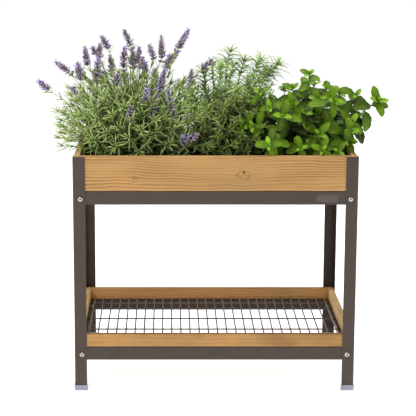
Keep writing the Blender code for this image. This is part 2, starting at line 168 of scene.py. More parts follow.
class Shading(Nodes):
    """A material's node tree, round its Principled BSDF."""

    def __init__(self, name, **constants):
        self.material = bpy.data.materials.new(name)
        self.material.use_nodes = True
        super().__init__(self.material.node_tree)
        self.shader = self.tree.nodes["Principled BSDF"]
        self.place = self.node("TexCoord").outputs["Object"]
        for socket, value in constants.items():
            self.shader.inputs[socket.replace("_", " ")].default_value = value

    def cloud(self, *settings):
        return self.noise(self.place, *settings)

    def varied(self, scale, low, high, *settings):
        """Grey patches from low to high."""
        return self.ramp(self.cloud(scale, *settings), (0.3, low), (0.7, high))

    def normal(self):
        return self.node("NewGeometry").outputs["True Normal"]

    def edges(self, radius):
        """Near 0 on flat stretches and up to about 0.3 on an edge."""
        rounded = self.node("Bevel", {"Radius": radius}, samples=4).outputs[0]
        return self.minus(1.0, self.dot(rounded, self.node("NewGeometry").outputs["Normal"]))

    def finish(self, colour, roughness=None, height=None, depth=0.001, strength=0.5):
        """Links the results to the shader. depth is the bump's height in metres."""
        self.tree.links.new(colour, self.shader.inputs["Base Color"])
        if roughness is not None:
            self.tree.links.new(roughness, self.shader.inputs["Roughness"])
        if height is not None:
            bump = self.node("Bump", {"Height": height, "Distance": depth, "Strength": strength})
            self.tree.links.new(bump.outputs[0], self.shader.inputs["Normal"])
        return self.material


def wood(name, length, pith, light, dark, spacing, knots=(), shift=0.0, contrast=0.8, blotchy=0.1):
    """Planed softwood, with growth rings round a pith line along the board.

    length names the axis it runs along. pith is (height, depth). knots is [(place along, height, size)].
    """
    light, dark, end = linear(light), linear(dark), linear("9d6d38")
    s = Shading(name, Specular_IOR_Level=0.35)
    x, y, z = s.split(s.place)
    along, depth = (x, y) if length == "X" else (y, x)
    height = z
    rim = core = 0.0
    for knot_along, knot_height, size in knots:
        off_along = s.maths("DIVIDE", s.minus(along, knot_along), size * 1.5)
        off_height = s.maths("DIVIDE", s.minus(z, knot_height), size)
        wobble = s.centred(s.cloud(95, 3), 1.5)
        squared = s.squares(off_along, off_height)
        hanging = s.squares(off_along, s.plus(off_height, 0.42))
        distance = s.plus(s.maths("SQRT", squared), s.times(wobble, 0.5))
        ring_distance = s.plus(s.maths("SQRT", hanging), wobble)
        pull = s.maths("EXPONENT", s.times(squared, -0.28))
        height = s.minus(height, s.times(s.times(off_height, pull), size * 0.85))
        core = s.maths("MAXIMUM", core, s.ramp(distance, (0.2, 1.0), (0.38, 0.0)))
        ring = s.ramp(s.times(ring_distance, 0.5), (0.36, 0.0), (0.46, 0.6), (0.49, 0.4), (0.56, 0.0))
        rim = s.maths("MAXIMUM", rim, ring)
    bent = s.join(along, depth, height)
    warp = s.centred(s.noise(bent, (1.6, 7.0, 7.0), 3), 0.038)
    ripple = s.centred(s.noise(bent, (14.0, 30.0, 30.0), 2), 0.006)
    radius = s.maths("SQRT", s.squares(s.minus(height, pith[0]), s.minus(depth, pith[1])))
    radius = s.plus(s.plus(radius, warp), s.plus(ripple, shift))
    uneven = s.noise(s.join(0.0, 0.0, radius), 55.0, 2, 0.6)
    ring = s.maths("FRACT", s.plus(s.maths("DIVIDE", radius, spacing), s.times(uneven, 1.6)))
    late = s.ramp(ring, (0.0, 0.0), (0.45, 0.1), (0.78, 0.85), (0.9, 1.0), (1.0, 0.0))
    faint = s.ramp(s.noise(bent, (3.0, 20.0, 20.0), 2), (0.35, 0.35), (0.65, 1.0))
    grown = s.join(along, depth, radius)
    fibre = s.noise(grown, (22.0, 500.0, 1100.0), 3, 0.6)
    streak = s.noise(grown, (5.0, 90.0, 210.0), 3, 0.6)
    blotch = s.cloud((6.0, 9.0, 9.0), 3)
    amount = s.times(s.times(late, faint), contrast)
    amount = s.plus(s.plus(amount, s.centred(streak, 0.55)), s.centred(fibre, 0.25))
    amount = s.node("Clamp", {"Value": amount}).outputs[0]
    colour = s.mix(amount, light, dark)
    colour = s.multiply(colour, s.ramp(blotch, (0.3, 1 - 1.5 * blotchy), (0.5, 1.0), (0.7, 1 + blotchy)))
    if knots:
        colour = s.mix(rim, colour, scaled(dark, 0.72))
        colour = s.mix(core, colour, (0.035, 0.02, 0.014))
    facing = s.split(s.normal())[0 if length == "X" else 1]
    cut_end = s.ramp(s.maths("ABSOLUTE", facing), (0.8, 0.0), (0.95, 1.0))
    pores = s.ramp(s.cloud(900.0, 2), (0.35, 0.75), (0.65, 1.05))
    colour = s.mix(cut_end, colour, s.multiply(s.mix(late, end, scaled(end, 0.72)), pores))
    # Painted highlight: the eased edges are made lighter.
    colour = s.mix(s.ramp(s.edges(0.003), (0.02, 0.0), (0.2, 0.55)), colour, scaled(light, 1.22))
    roughness = s.ramp(s.plus(s.times(fibre, 0.5), s.times(late, 0.2)), (0.0, 0.66), (1.0, 0.46))
    relief = s.plus(s.times(fibre, 0.35), s.times(late, 0.25))
    return s.finish(colour, roughness, relief, 0.0006, 0.5)


def powder_coat():
    """Satin powder coat with a fine orange peel, slightly worn on its folds, with painted shade inside the
    angles.
    """
    s = Shading("powder_coat", Metallic=0.0, Specular_IOR_Level=0.35)
    colour = linear("453931")
    base = s.mix(s.cloud(7.0, 3), scaled(colour, 0.92), scaled(colour, 1.08))
    base = s.multiply(base, s.varied(420.0, 0.9, 1.1, 2, 0.7))
    worn = s.times(s.edges(0.0012), s.cloud(160.0, 3, 0.7))
    base = s.mix(s.ramp(worn, (0.03, 0.0), (0.16, 0.5)), base, scaled(colour, 1.9))
    height = s.plus(s.split(s.place)[2], s.times(s.cloud(30.0, 3), 0.08))
    dust = s.ramp(height, (0.03, 0.35), (0.16, 0.0))
    base = s.mix(s.times(dust, 0.3), base, linear("75695d"))
    # Painted shade: faces turned towards the frame's middle are darkened to a warm brown.
    painted_inner_shade = s.times(s.dot(s.place, s.normal()), -4.0)
    base = s.multiply(base, s.ramp(painted_inner_shade, (0.05, (1.0, 1.0, 1.0)), (0.2, (0.48, 0.36, 0.28))))
    return s.finish(base, s.varied(60.0, 0.42, 0.56, 3), s.cloud(850.0), 0.0002, 0.35)


def coated_wire():
    """Coated wire: pale taupe on the top wires as painted light, and dark on those underneath as painted
    shade.
    """
    s = Shading("coated_wire", Metallic=0.0, Specular_IOR_Level=0.6)
    low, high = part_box("mesh_shelf")
    share = s.maths("DIVIDE", s.minus(s.split(s.place)[2], low.z), high.z - low.z)
    # Painted light and shade: the higher a wire stands in the shelf, the paler it is painted.
    tone = s.ramp(share, (0.4, linear("2e2521")), (0.6, linear("6d6259")), (1.0, linear("7d7268")))
    tone = s.multiply(tone, s.varied(300.0, 0.8, 1.15, 3, 0.7))
    return s.finish(tone, s.varied(120.0, 0.3, 0.48), s.cloud(700.0), 0.0002, 0.3)


def zinc(name, shade):
    """Zinc plate with faint turning marks. shade is how bright it is: low, it is painted shade, as on the
    nuts and in sockets.
    """
    s = Shading(name, Metallic=1.0)
    cloud = s.cloud(220.0, 3, 0.6)
    base = s.mix(cloud, scaled((0.42, 0.43, 0.45), shade), scaled((0.72, 0.73, 0.75), shade))
    edge = s.ramp(s.edges(0.0008), (0.03, 0.0), (0.25, 0.6))
    base = s.mix(edge, base, scaled((0.85, 0.85, 0.86), shade))
    return s.finish(base, s.varied(500.0, 0.2, 0.34), s.cloud(1400.0), 0.0001, 0.25)


def foot_plastic():
    """Milky grey plastic, slightly see-through and scuffed at the floor."""
    milky = dict(Transmission_Weight=0.25, IOR=1.46, Subsurface_Weight=0.25, Subsurface_Scale=0.004)
    s = Shading("foot_plastic", **milky)
    tone = s.mix(s.cloud(90.0, 3), linear("a6a7bb"), linear("b6b7c8"))
    height = s.plus(s.split(s.place)[2], s.times(s.cloud(500.0, 3), 0.006))
    tone = s.mix(s.ramp(height, (0.002, 0.6), (0.007, 0.0)), tone, linear("8b8a92"))
    return s.finish(tone, s.varied(250.0, 0.32, 0.48), s.cloud(900.0), 0.0001, 0.3)


def black_plastic():
    """Moulded black plastic with dust and soil marks."""
    s = Shading("liner_plastic", Specular_IOR_Level=0.4)
    dust = s.ramp(s.cloud(40.0, 4, 0.6), (0.45, 0.0), (0.75, 0.35))
    tone = s.mix(dust, (0.01, 0.01, 0.01), (0.06, 0.045, 0.032))
    return s.finish(tone, s.varied(300.0, 0.45, 0.65), s.cloud(1200.0), 0.0002, 0.4)


def compost():
    """Dark moist compost with pale fibres and grit."""
    s = Shading("compost", Specular_IOR_Level=0.2)
    crumbs = s.node("TexVoronoi", {"Vector": s.place, "Scale": 210.0}).outputs["Distance"]
    tone = s.mix(s.cloud(90.0, 4, 0.7), (0.006, 0.004, 0.003), (0.036, 0.022, 0.013))
    tone = s.mix(s.ramp(crumbs, (0.06, 0.5), (0.2, 0.0)), tone, (0.055, 0.038, 0.024))
    tone = s.mix(s.ramp(s.cloud(700.0, 2), (0.7, 0.0), (0.76, 0.6)), tone, (0.16, 0.13, 0.09))
    roughness = s.ramp(crumbs, (0.0, 0.8), (0.5, 1.0))
    return s.finish(tone, roughness, s.cloud(260.0, 4, 0.7), 0.003, 0.7)


def badge_plate():
    """A plain dark plate with a pale border and a brushed face."""
    s = Shading("badge_plate", Metallic=0.3)
    brushed = s.cloud((60.0, 60.0, 2600.0), 3, 0.6)
    tone = s.mix(brushed, linear("4c413b"), linear("5a4f48"))
    tone = s.mix(s.ramp(s.edges(0.0007), (0.02, 0.0), (0.15, 0.8)), tone, linear("7d756c"))
    return s.finish(tone, s.ramp(brushed, (0.3, 0.3), (0.7, 0.5)), brushed, 0.0001, 0.3)


def plant_skin(name, base, tip, old_and_shaded, veins=0.0, gloss=0.5, hollow_shade=0.22):
    """A leaf, stem or petal, from three colour codes. deep is how dark the painted shade makes it where
    leaves crowd in.

    The mark attribute holds the place along it, the place across it and its shade, partly age and partly
    painted shade.
    """
    base, tip, old_and_shaded = linear(base), linear(tip), linear(old_and_shaded)
    s = Shading(name, Specular_IOR_Level=0.22)
    along, across, shade = s.split(s.node("Attribute", attribute_name="mark").outputs["Vector"])
    # A low shade mark pulls the colour towards old and darkens it: partly age, partly painted shade inside
    # the plant.
    tone = s.mix(s.ramp(shade, (0.0, 0.9), (0.45, 0.0)), s.mix(along, base, tip), old_and_shaded)
    tone = s.multiply(tone, s.varied(110.0, 0.86, 1.14, 3))
    tone = s.multiply(tone, s.ramp(shade, (0.0, 0.78), (1.0, 1.22)))
    # Painted shade: ambient occlusion darkens the colour where leaves crowd in.
    occlusion_shade = s.node("AmbientOcclusion", {"Distance": 0.05}, samples=4, only_local=True).outputs["AO"]
    tone = s.multiply(tone, s.ramp(occlusion_shade, (0.2, hollow_shade), (0.52, 0.95), (0.82, 1.2)))
    relief = s.cloud(500.0, 3)
    if veins:
        side = s.maths("ABSOLUTE", across)
        middle = s.ramp(side, (0.02, 1.0), (0.11, 0.0))
        lateral = s.maths("PINGPONG", s.times(s.minus(along, s.times(side, 0.22)), 8.0), 0.5)
        vein = s.maths("MAXIMUM", middle, s.ramp(lateral, (0.0, 0.75), (0.11, 0.0)))
        tone = s.mix(s.times(vein, veins), tone, tuple(min(1.0, c * 1.7 + 0.02) for c in tip))
        puffed = s.ramp(lateral, (0.0, 0.0), (0.25, 1.0))
        relief = s.plus(s.times(relief, 0.25), s.times(puffed, 0.75))
    return s.finish(tone, s.varied(260.0, gloss, gloss + 0.15), relief, 0.0012, 0.6)


def make_cad_materials():
    """A material on every CAD node that stays in view, by its name or by how its name starts."""
    steel = powder_coat()
    # Painted shade: the nuts' zinc is dark, at shade 0.25 where the bolts have 0.92.
    nut = zinc("zinc_nut_painted_shade", 0.25)
    honey, grain = "b99058", "8d5a25"
    sides = wood("tray_wood_sides", "Y", (0.06, 0.06), "dcb981", "ae7c41", 0.0095, shift=0.47, contrast=0.6)
    slats = wood("slat_wood", "Y", (0.4, 0.03), "c4a271", "9a7040", 0.0085, shift=0.71, contrast=0.7)
    by_start = {
        "trough_board_front": wood(
            "trough_wood_front", "X", (0.535, -0.205), honey, grain, 0.006,
            knots=((0.0756, 0.6055, 0.012), (-0.217, 0.589, 0.005)), contrast=1.0,
        ),
        "trough_board_back": wood(
            "trough_wood_back", "X", (0.52, 0.19), honey, grain, 0.0068,
            knots=((-0.155, 0.592, 0.011),), shift=0.31, contrast=0.85,
        ),
        "trough_board_left": wood("trough_wood_left", "Y", (0.53, -0.33), "c5a06b", grain, 0.007, shift=0.13),
        "trough_board_right": wood(
            "trough_wood_right", "Y", (0.7, 0.33), "c5a06b", grain, 0.0072,
            knots=((-0.06, 0.613, 0.01),), shift=0.57,
        ),
        "tray_board_front": wood(
            "tray_wood_front", "X", (0.09, -0.2), "b0854f", "8c5f2f", 0.009,
            knots=((0.115, 0.15, 0.004),), shift=0.83, contrast=0.55, blotchy=0.26,
        ),
        "tray_board_back": wood("tray_wood_back", "X", (0.09, 0.3), "b98c54", "8a5c2b", 0.005, shift=0.29),
        "tray_board_left": sides,
        "tray_board_right": sides,
        "floor_slat_": slats,
        "leg_": steel,
        "trough_rail_": steel,
        "tray_rail_": steel,
        "trough_nut_": nut,
        "tray_nut_": nut,
        "foot_": foot_plastic(),
        "liner_tray": black_plastic(),
    }
    for name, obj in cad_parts.items():
        for start, material in by_start.items():
            if name.startswith(start):
                obj.data.materials.clear()
                obj.data.materials.append(material)


# ---- mesh helpers


def new_piece(name, mesh, body, materials, replaced=()):
    obj = bpy.data.objects.new(name, mesh)
    bpy.context.scene.collection.objects.link(obj)
    for material in materials:
        mesh.materials.append(material)
    if replaced:
        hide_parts(*replaced)
    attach(obj, body)


def finished_mesh(name, shape, sharp):
    """A mesh from a bmesh, smooth but for edges over an angle in degrees."""
    mesh = bpy.data.meshes.new(name)
    shape.to_mesh(mesh)
    shape.free()
    mesh.shade_smooth()
    mesh.set_sharp_from_angle(angle=math.radians(sharp))
    return mesh


def unit(vectors):
    return vectors / np.maximum(np.linalg.norm(vectors, axis=-1, keepdims=True), 1e-9)


class Growth:
    """Gathers many small closed shapes into one mesh, with a mark on every point for the material to read."""

    def __init__(self):
        self.points, self.marks, self.faces, self.kinds = [], [], [], []
        self.count = 0

    def add(self, points, marks, faces, kind):
        """points and marks are (copies, points, 3), faces are of one copy, and kind is a material index."""
        copies, size = points.shape[:2]
        for i in range(copies):
            start = self.count + i * size
            self.faces += [tuple(index + start for index in face) for face in faces]
        self.kinds += [kind] * (copies * len(faces))
        self.points.append(points.reshape(-1, 3))
        self.marks.append(marks.reshape(-1, 3))
        self.count += copies * size

    def build(self, name, body, slot, materials, replaced=()):
        mesh = bpy.data.meshes.new(name)
        mesh.from_pydata(np.concatenate(self.points).tolist(), [], self.faces)
        mark = mesh.attributes.new("mark", "FLOAT_VECTOR", "POINT")
        mark.data.foreach_set("vector", np.concatenate(self.marks).astype(np.float32).ravel())
        new_piece(name, mesh, body, materials, replaced)
        mesh.polygons.foreach_set("material_index", self.kinds)
        mesh.shade_smooth()
        mesh.update()


class Leaves:
    """Needles, buds, petals or leaves, gathered one at a time and then shaped all together."""

    def __init__(self):
        self.rows = []

    def put(self, origin, direction, normal, length, width, curl, shade, cup=0.0):
        """curl is how far it bends back, in radians; cup is how far its sides fold up."""
        self.rows.append((origin, direction, normal, length, width, curl, shade, cup))

    def settle(self):
        """Turns the rows into arrays, with directions, sides and normals at right angles to each other."""
        columns = [np.array(values, float) for values in zip(*self.rows)]
        self.origins, directions, normals, self.lengths, self.widths = columns[:5]
        self.curls, self.shades, self.cups = columns[5:]
        self.directions = unit(directions)
        self.normals = unit(normals - self.directions * (normals * self.directions).sum(-1, keepdims=True))
        self.across = np.cross(self.directions, self.normals)

    def arc(self, share):
        """The places and the turned normals at a share of arcs that bend away from the normals."""
        angle = np.maximum(np.abs(self.curls), 1e-3) * np.sign(self.curls + 1e-9)
        bent = angle * share
        forward = (np.sin(bent) / angle * self.lengths)[:, None]
        down = ((1 - np.cos(bent)) / angle * self.lengths)[:, None]
        place = self.origins + (self.directions * forward - self.normals * down)
        return place, self.normals * np.cos(bent)[:, None] + self.directions * np.sin(bent)[:, None]

    def marks(self, along, across, painted_shade_factor=1.0):
        along, across = (np.full(len(self.shades), value) for value in (along, across))
        return np.stack([along, across, self.shades * painted_shade_factor], -1)

    def spindles(self, growth, profile, sides, flat, kind):
        """Closed tapered shapes: needles, buds and petals. profile is [(share along, share of width)]."""
        self.settle()
        points, marks = [], []
        for share, girth in profile:
            place, up = self.arc(share)
            for k in range(sides):
                turn = 2 * math.pi * (k + 0.25) / sides
                wide = (math.cos(turn) * girth * self.widths / 2)[:, None]
                thick = (math.sin(turn) * girth * self.widths / 2 * flat)[:, None]
                points.append(place + self.across * wide + up * thick)
                marks.append(self.marks(share, math.cos(turn)))
        points.append(self.arc(1.0)[0])
        marks.append(self.marks(1.0, 0.0))
        faces = [tuple(reversed(range(sides)))]
        last = (len(profile) - 1) * sides
        for low in range(0, last, sides):
            for k in range(sides):
                after = (k + 1) % sides
                faces.append((low + k, low + after, low + sides + after, low + sides + k))
        faces += [(last + k, last + (k + 1) % sides, last + sides) for k in range(sides)]
        growth.add(np.stack(points, 1), np.stack(marks, 1), faces, kind)

    def blades(self, growth, outline, rows, kind):
        """Broad toothed leaves with a top and an underside, folded at the midrib and wavy at the margin."""
        columns, thickness = 5, 0.0005
        self.settle()
        points, marks = [], []
        for lower in (0, 1):
            for i in range(rows):
                share = i / (rows - 1)
                tooth = 0.08 if i % 2 else -0.03
                place, up = self.arc(share)
                for j in range(columns):
                    across = 2 * j / (columns - 1) - 1
                    wide = outline(share) * (1 + tooth * (abs(across) > 0.99))
                    sideways = (across * wide * self.widths / 2)[:, None]
                    lift = (self.cups * abs(across) * wide * self.widths / 2)[:, None]
                    wave = (0.045 * self.widths * math.sin(share * 19.0) * abs(across) ** 2 * wide)[:, None]
                    points.append(place + self.across * sideways + up * (lift + wave - lower * thickness))
                    # Painted shade: the underside's shade mark is scaled down to 0.55.
                    marks.append(self.marks(share, across, 0.55 if lower else 1.0))
        size = rows * columns
        faces = []
        for i in range(rows - 1):
            for j in range(columns - 1):
                a = i * columns + j
                quad = (a, a + columns, a + columns + 1, a + 1)
                faces.append(tuple(reversed(quad)))
                faces.append(tuple(index + size for index in quad))
        rim = list(range(columns))
        rim += [i * columns + columns - 1 for i in range(1, rows)]
        rim += [(rows - 1) * columns + j for j in range(columns - 2, -1, -1)]
        rim += [i * columns for i in range(rows - 2, 0, -1)]
        for a, b in zip(rim, rim[1:] + rim[:1]):
            faces.append((a, b, b + size, a + size))
        growth.add(np.stack(points, 1), np.stack(marks, 1), faces, kind)


def add_tube(growth, path, radii, shade, sides, kind):
    """A stem through the points of a path, closed at both ends."""
    path = np.asarray(path, float)
    steps = len(path)
    tangents = unit(np.gradient(path, axis=0))
    helper = np.array((0.0, 1.0, 0.0)) if abs(tangents[0][1]) < 0.9 else np.array((1.0, 0.0, 0.0))
    points, marks = [], []
    for i in range(steps):
        side = unit(np.cross(tangents[i], helper))
        helper = np.cross(side, tangents[i])
        for k in range(sides):
            turn = 2 * math.pi * k / sides
            points.append(path[i] + radii[i] * (side * math.cos(turn) + helper * math.sin(turn)))
            marks.append((i / (steps - 1), math.cos(turn), shade))
    faces = [tuple(range(sides))]
    for low in range(0, (steps - 1) * sides, sides):
        for k in range(sides):
            after = (k + 1) % sides
            faces.append((low + k, low + sides + k, low + sides + after, low + after))
    faces.append(tuple(reversed(range((steps - 1) * sides, steps * sides))))
    growth.add(np.array([points]), np.array([marks]), faces, kind)


def bowed(start, tip, rise, steps, rng, wander=0.004):
    """A stem's path from its root to its tip. It goes upwards for rise of its height before it leans out."""
    middle = start.lerp(tip, 0.35)
    middle.z = start.z + (tip.z - start.z) * rise
    path = []
    offset = Vector((rng.uniform(-1, 1), rng.uniform(-1, 1), 0)) * wander
    for i in range(steps):
        t = i / (steps - 1)
        place = start * (1 - t) ** 2 + middle * 2 * t * (1 - t) + tip * t * t
        place += offset * math.sin(t * math.pi * 2)
        path.append(place)
    return path


def along_path(path, spacing, first):
    """[(place, direction, share)] at even steps along a path, from a share of its length to its end."""
    lengths = [0.0]
    for a, b in zip(path, path[1:]):
        lengths.append(lengths[-1] + (b - a).length)
    found = []
    at = first * lengths[-1]
    while at <= lengths[-1]:
        i = max(j for j in range(len(lengths) - 1) if lengths[j] <= at + 1e-9)
        t = (at - lengths[i]) / (lengths[i + 1] - lengths[i])
        direction = (path[i + 1] - path[i]).normalized()
        found.append((path[i].lerp(path[i + 1], t), direction, at / lengths[-1]))
        at += spacing
    return found


def around(direction, turn):
    """A unit vector at right angles to a direction, turned round it."""
    helper = Vector((0, 0, 1)) if abs(direction.z) < 0.9 else Vector((1, 0, 0))
    side = direction.cross(helper).normalized()
    return Matrix.Rotation(turn, 3, direction) @ side


def leaf_from(stem, turn, degrees):
    """The side of a stem that a leaf grows from, and the leaf's direction and upper normal."""
    side = around(stem, turn)
    spread = math.radians(degrees)
    direction = stem * math.cos(spread) + side * math.sin(spread)
    return side, direction, stem - direction * stem.dot(direction)


# ---- herbs

# Shares of a needle's, calyx's or petal's length, and how wide it is there
NEEDLE = ((0.0, 0.4), (0.25, 1.0), (0.7, 0.9))
CALYX = ((0.0, 0.45), (0.35, 1.0), (0.85, 0.8))
PETAL = ((0.0, 0.45), (0.6, 1.0))

# How stems grow. Narrow leaves of a length and width open at a spread, in degrees, and curl, in radians. They
# stand in whorls of twin at a spacing, from the first share of the stem, and close up by a share at its tip.
FIELDS = "radius spacing first length width spread curl twin tuft close"
Habit = namedtuple("Habit", FIELDS, defaults=(2, 6, 0.5))
LAVENDER_BUSH = Habit(0.0015, 0.013, 0.16, 0.052, 0.0038, (24, 70), (-0.6, 1.3))
LAVENDER_CLUMP = Habit(0.0014, 0.013, 0.15, 0.05, 0.0038, (24, 70), (-0.6, 1.3))
FLOWER_STEM = Habit(0.0019, 0.034, 0.15, 0.044, 0.0042, (25, 50), (0.0, 0.8), tuft=0)
ROSEMARY_SHOOT = Habit(0.0032, 0.011, 0.15, 0.044, 0.0046, (32, 58), (0.6, 1.5), 3, 0, 0.35)
ROSEMARY_CROWN = Habit(0.0028, 0.014, 0.1, 0.064, 0.0054, (26, 46), (1.0, 1.7), 4, 8, 0.15)
ROSEMARY_MIDDLE = Habit(0.0025, 0.0088, 0.12, 0.036, 0.0038, (48, 76), (0.1, 1.3), 3, 6, 0.35)
ROSEMARY_FOOT = Habit(0.0023, 0.009, 0.1, 0.034, 0.0036, (45, 78), (0.0, 1.1))
ROSEMARY_FRONT = Habit(0.0036, 0.009, 0.45, 0.032, 0.0034, (45, 75), (0.0, 0.8))

# Flower spikes: tip's X and Z, its Y, lean to the right in degrees, and length
SPIKES = (
    (-0.49, 0.824, -0.02, -48, 0.04),
    (-0.447, 0.873, 0.03, -54, 0.052),
    (-0.379, 0.877, -0.05, -10, 0.048),
    (-0.361, 0.918, 0.02, -8, 0.056),
    (-0.317, 0.944, 0.05, -32, 0.044),
    (-0.346, 0.908, 0.08, -46, 0.034),
    (-0.32, 0.892, -0.03, 4, 0.056),
    (-0.318, 0.926, 0.03, 2, 0.044),
    (-0.252, 0.963, 0.04, -24, 0.052),
    (-0.247, 0.92, -0.01, 3, 0.06),
    (-0.226, 0.902, 0.06, 2, 0.042),
    (-0.196, 0.888, 0.02, 16, 0.036),
    (-0.18, 0.925, 0.0, -18, 0.046),
    (-0.146, 0.946, 0.05, -2, 0.066),
    (-0.068, 0.967, -0.02, 30, 0.062),
    (-0.094, 0.905, 0.04, 40, 0.056),
    (-0.061, 0.86, -0.04, 2, 0.048),
    (0.0, 0.882, 0.0, 46, 0.044),
    (-0.136, 0.862, -0.07, 14, 0.06),
    (-0.156, 0.812, -0.1, 10, 0.088),
    (-0.128, 0.81, -0.11, -12, 0.08),
    (-0.184, 0.815, -0.12, 6, 0.036),
    (-0.226, 0.772, -0.15, 8, 0.048),
    (-0.268, 0.85, -0.06, -4, 0.036),
    (-0.19, 0.868, 0.08, 5, 0.05),
    (-0.388, 0.816, -0.08, -12, 0.026),
    (-0.31, 0.848, 0.02, 8, 0.03),
    (-0.044, 0.7, -0.19, 60, 0.03),
    (-0.086, 0.694, -0.17, -10, 0.03),
    (-0.296, 0.88, 0.16, -10, 0.05),
    (-0.21, 0.9, 0.19, 8, 0.05),
    (-0.12, 0.88, 0.17, 14, 0.046),
    (-0.39, 0.86, 0.14, -24, 0.046),
    (-0.345, 0.835, 0.2, -14, 0.044),
    (-0.165, 0.835, 0.22, 4, 0.044),
)

# Tips of the rosemary's tall shoots
ROSEMARY_TALL = (
    (0.048, 0.02, 0.898),
    (0.087, 0.05, 0.868),
    (0.13, 0.0, 0.876),
    (0.181, 0.03, 0.862),
    (0.022, -0.04, 0.862),
    (-0.026, 0.03, 0.838),
    (0.15, 0.07, 0.84),
    (0.106, -0.06, 0.835),
    (0.0, 0.06, 0.856),
    (0.06, 0.11, 0.85),
    (0.16, 0.14, 0.83),
    (-0.06, -0.05, 0.79),
    (0.065, -0.08, 0.8),
    (0.15, -0.09, 0.785),
)

# Tips of the mint's shoots, those that open towards the front first, with the size of each one's leaves
MINT_SHOOTS = (
    (0.328, -0.12, 0.778, 0.054),
    (0.184, -0.16, 0.742, 0.052),
    (0.286, -0.17, 0.694, 0.048),
    (0.139, -0.262, 0.68, 0.044),
    (0.286, -0.235, 0.66, 0.038),
    (0.101, -0.15, 0.714, 0.04),
    (0.08, -0.13, 0.716, 0.046),
    (0.372, -0.15, 0.7, 0.05),
    (0.23, -0.215, 0.662, 0.04),
    (0.25, -0.1, 0.745, 0.048),
    (0.365, -0.19, 0.675, 0.044),
    (0.33, -0.225, 0.655, 0.04),
    (0.15, -0.14, 0.765, 0.044),
    (0.272, 0.02, 0.838, 0.044),
    (0.462, -0.02, 0.766, 0.064),
    (0.402, 0.0, 0.782, 0.046),
    (0.122, -0.1, 0.8, 0.04),
    (0.215, -0.11, 0.765, 0.05),
    (0.226, 0.02, 0.798, 0.048),
    (0.32, 0.0, 0.8, 0.04),
    (0.36, 0.05, 0.78, 0.05),
    (0.29, -0.03, 0.775, 0.05),
    (0.415, 0.06, 0.715, 0.048),
    (0.385, -0.06, 0.715, 0.05),
    (0.21, 0.14, 0.78, 0.048),
    (0.3, 0.16, 0.79, 0.048),
    (0.38, 0.14, 0.765, 0.048),
    (0.26, 0.235, 0.7, 0.044),
    (0.16, 0.2, 0.72, 0.046),
    (0.35, 0.235, 0.69, 0.044),
    (0.395, 0.18, 0.71, 0.044),
    (0.27, 0.09, 0.8, 0.048),
    (0.14, 0.1, 0.76, 0.046),
)


def flower_spike(flowers, buds, petals, base, direction, length, rng):
    """Whorls of calyces round a stem's end, with a few open flowers, and often one whorl apart below them."""
    core = [base, base + direction * length * 0.5, base + direction * (length - 0.004)]
    # The core is dark brown, for the dark bracts and for painted shade between the calyces.
    add_tube(flowers, core, (0.0022, 0.0024, 0.0014), 0.1, 6, 3)
    whorls = max(4, round(length / 0.0072))
    rings = [i / (whorls - 1) for i in range(whorls)]
    if length > 0.04 and rng.random() < 0.6:
        rings.insert(0, -0.014 / length)
    open_flowers = rng.choice((0.08, 0.25, 0.45))
    for share in rings:
        place = base + direction * ((length - 0.007) * share)
        full = math.sin(math.pi * min(1.0, 0.3 + max(share, 0.0) * 0.8)) ** 0.5
        count = 8 if share < 0.75 else 6
        turn = rng.uniform(0, 6.28)
        for k in range(count):
            place_round = turn + k * 2 * math.pi / count + rng.uniform(-0.2, 0.2)
            spread = rng.uniform(38, 72) * (1 - 0.45 * max(share, 0.0))
            side, way, normal = leaf_from(direction, place_round, spread)
            size = 0.0122 * (0.55 + 0.45 * full) * rng.uniform(0.88, 1.1)
            origin = place + side * 0.0016
            buds.put(origin, way, normal, size, size * 0.4, 0.15, rng.uniform(0.0, 1.0))
            if rng.random() < open_flowers:
                end = origin + way * size * 0.9
                for fork in (-1, 1):
                    out = (way + side * 0.5 + around(way, rng.uniform(0, 6.28)) * 0.8 * fork).normalized()
                    petals.put(end, out, side, rng.uniform(0.004, 0.006), 0.0042, 0.5, rng.uniform(0.3, 1.0))


def leafy_stem(stems, leaves, path, rng, habit, kind=0):
    """A stem with whorls of narrow leaves, each turned on from the last, and a tuft at its tip."""
    radius, spacing, first, length, width, spread, curl, twin, tuft, close = habit
    steps = len(path)
    radii = [radius * (1 - 0.5 * i / (steps - 1)) for i in range(steps)]
    add_tube(stems, path, radii, rng.uniform(0.2, 0.9), 5, kind)
    turn = rng.uniform(0, 6.28)
    stem_shade = rng.uniform(-0.25, 0.25)
    for place, direction, share in along_path(path, spacing, first):
        turn += math.pi / 2 + rng.uniform(-0.4, 0.4)
        for k in range(twin):
            opened = rng.uniform(*spread) * (1.15 - close * share)
            _, way, normal = leaf_from(direction, turn + k * 2 * math.pi / twin, opened)
            size = length * rng.uniform(0.7, 1.15) * (1 - 0.3 * max(0.0, share - 0.8) / 0.2)
            # Leaves lower on the stem get a lower shade mark: partly age, partly painted shade inside the
            # bush.
            shade = min(1.0, max(0.0, rng.random() * 0.7 + share * 0.7 - 0.3 + stem_shade))
            leaves.put(place, way, normal, size, width * rng.uniform(0.85, 1.15), rng.uniform(*curl), shade)
    end = path[-1]
    direction = (path[-1] - path[-2]).normalized()
    for k in range(tuft):
        _, way, normal = leaf_from(direction, turn + k * 6.283 / tuft, rng.uniform(12, 40))
        bend = rng.uniform(*curl) * 0.8
        size = length * rng.uniform(0.4, 0.75)
        leaves.put(end, way, normal, size, width * 0.85, bend, rng.uniform(0.5, 1.0))


def dome_tips(count, centre, reach, rng):
    """Points spread over an oval dome, from its top down to near its foot."""
    lowest = 0.02
    tips = []
    for i in range(count):
        up = 1 - (1 - lowest) * (i + 0.5) / count
        ring = math.sqrt(1 - up * up)
        turn = i * math.pi * (3 - math.sqrt(5))
        size = rng.uniform(0.8, 1.0)
        tips.append(Vector((
            centre[0] + reach[0] * ring * math.cos(turn) * size,
            centre[1] + reach[1] * ring * math.sin(turn) * size,
            centre[2] + reach[2] * up ** 0.8 * size,
        )))
    return tips


